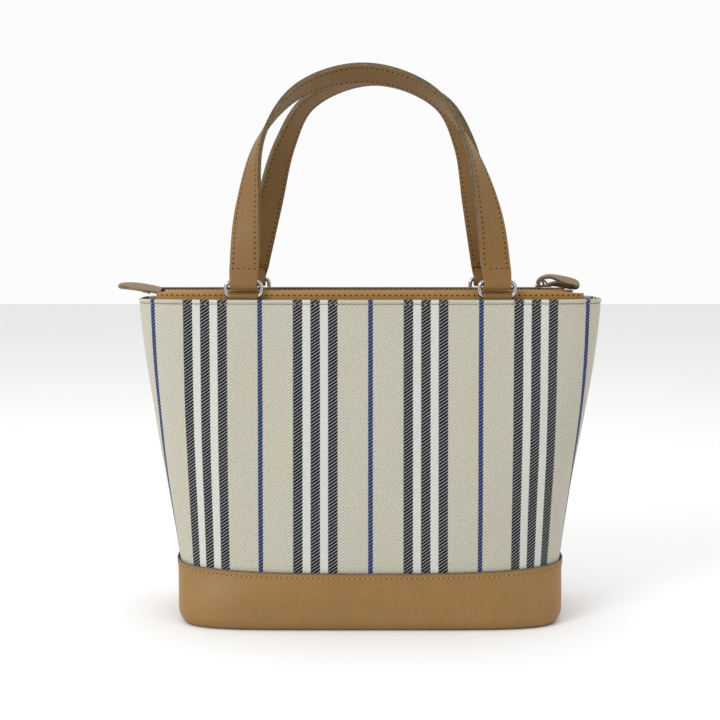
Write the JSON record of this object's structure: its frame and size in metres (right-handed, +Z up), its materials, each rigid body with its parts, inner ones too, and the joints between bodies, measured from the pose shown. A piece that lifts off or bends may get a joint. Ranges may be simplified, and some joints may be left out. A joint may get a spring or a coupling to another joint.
{
  "type": "canvas tote bag",
  "caption": "Structured zip-top tote of striped canvas with a leather base band, leather mouth facing and two twisted leather handles hung on metal rings.",
  "frame": {"origin": "centre of the flat underside, on the surface the bag stands on", "axes": "+Z up, -Y the front with the handle nearest the viewer, +X towards the end where the closed zip's slider sits"},
  "size_m": [0.3265, 0.1142, 0.3692],
  "materials": {
    "striped_canvas": "beige and off-white cotton twill with woven navy stripes",
    "leather_tan": "tan vegetable-tanned leather with edge paint and beige stitching",
    "lining_twill": "dark twill lining",
    "stiffener_board": "fibre board hidden between base leather and lining",
    "polished_nickel": "polished nickel plate",
    "zip_tape": "brown woven zip tape",
    "zip_coil": "brown nylon coil"
  },
  "bodies": {
    "bag": {"canvas_front": "striped_canvas", "canvas_back": "striped_canvas", "lining_front": "lining_twill", "lining_back": "lining_twill", "lining_base": "lining_twill", "base_band_front": "leather_tan", "base_band_back": "leather_tan", "base_bottom": "leather_tan", "base_board": "stiffener_board", "facing_front": "leather_tan", "facing_back": "leather_tan", "tab_front_left": "leather_tan", "tab_front_right": "leather_tan", "tab_back_left": "leather_tan", "tab_back_right": "leather_tan", "zip_tail_tape": "zip_tape", "zip_tail_coil": "zip_coil"},
    "zip_front": {"zip_flap_front": "leather_tan", "zip_tape_front": "zip_tape", "zip_teeth_front": "zip_coil"},
    "zip_back": {"zip_flap_back": "leather_tan", "zip_tape_back": "zip_tape", "zip_teeth_back": "zip_coil"},
    "slider": {"zip_slider": "polished_nickel"},
    "pull": {"pull_link": "polished_nickel", "pull_thong": "leather_tan"},
    "end_tab": {"zip_end_tab": "leather_tan", "zip_end_tape": "zip_tape"},
    "ring_front_left": {"ring_front_left": "polished_nickel"},
    "ring_front_right": {"ring_front_right": "polished_nickel"},
    "front_handle": {"front_handle_outer": "leather_tan", "front_handle_inner": "leather_tan"},
    "ring_back_left": {"ring_back_left": "polished_nickel"},
    "ring_back_right": {"ring_back_right": "polished_nickel"},
    "back_handle": {"back_handle_outer": "leather_tan", "back_handle_inner": "leather_tan"}
  },
  "joints": [
    {"name": "ring_front_left_swing", "type": "hinge", "parent": "bag", "child": "ring_front_left", "pos_m": [-0.0825, -0.0345, 0.2168], "axis": [1, 0, 0], "range_deg": [0, 75]},
    {"name": "ring_front_right_swing", "type": "hinge", "parent": "bag", "child": "ring_front_right", "pos_m": [0.0825, -0.0345, 0.2168], "axis": [1, 0, 0], "range_deg": [0, 75]},
    {"name": "front_handle_fold", "type": "hinge", "parent": "ring_front_left", "child": "front_handle", "pos_m": [-0.0825, -0.0345, 0.2264], "axis": [1, 0, 0], "range_deg": [0, 98]},
    {"name": "ring_back_left_swing", "type": "hinge", "parent": "bag", "child": "ring_back_left", "pos_m": [-0.0825, 0.0345, 0.2168], "axis": [-1, 0, 0], "range_deg": [0, 75]},
    {"name": "ring_back_right_swing", "type": "hinge", "parent": "bag", "child": "ring_back_right", "pos_m": [0.0825, 0.0345, 0.2168], "axis": [-1, 0, 0], "range_deg": [0, 75]},
    {"name": "back_handle_fold", "type": "hinge", "parent": "ring_back_left", "child": "back_handle", "pos_m": [-0.0825, 0.0345, 0.2264], "axis": [-1, 0, 0], "range_deg": [0, 98]},
    {"name": "slider_travel", "type": "slide", "parent": "bag", "child": "slider", "axis": [-1, 0, 0], "range_m": [0, 0.238], "deforming": ["zip_flap_front", "zip_tape_front", "zip_teeth_front", "zip_flap_back", "zip_tape_back", "zip_teeth_back"]},
    {"name": "pull_swing", "type": "hinge", "parent": "slider", "child": "pull", "pos_m": [0.1175, 0, 0.224], "axis": [0, -1, 0], "range_deg": [0, 100]},
    {"name": "zip_front_open", "type": "hinge", "parent": "bag", "child": "zip_front", "pos_m": [0, -0.029, 0.2199], "axis": [-1, 0, 0], "range_deg": [0, 76]},
    {"name": "zip_back_open", "type": "hinge", "parent": "bag", "child": "zip_back", "pos_m": [0, 0.029, 0.2199], "axis": [1, 0, 0], "range_deg": [0, 76]},
    {"name": "end_tab_bend", "type": "hinge", "parent": "bag", "child": "end_tab", "pos_m": [-0.152, 0, 0.2187], "axis": [0, -1, 0], "range_deg": [-60, 30], "stiffness_Nm_per_rad": 0.02}
  ],
  "couplings": [
    {"joint": "ring_front_right_swing", "follows": "ring_front_left_swing", "ratio": 1},
    {"joint": "ring_back_right_swing", "follows": "ring_back_left_swing", "ratio": 1},
    {"joint": "zip_front_open", "follows": "slider_travel", "rad_per_m": 5.499},
    {"joint": "zip_back_open", "follows": "slider_travel", "rad_per_m": 5.499}
  ]
}
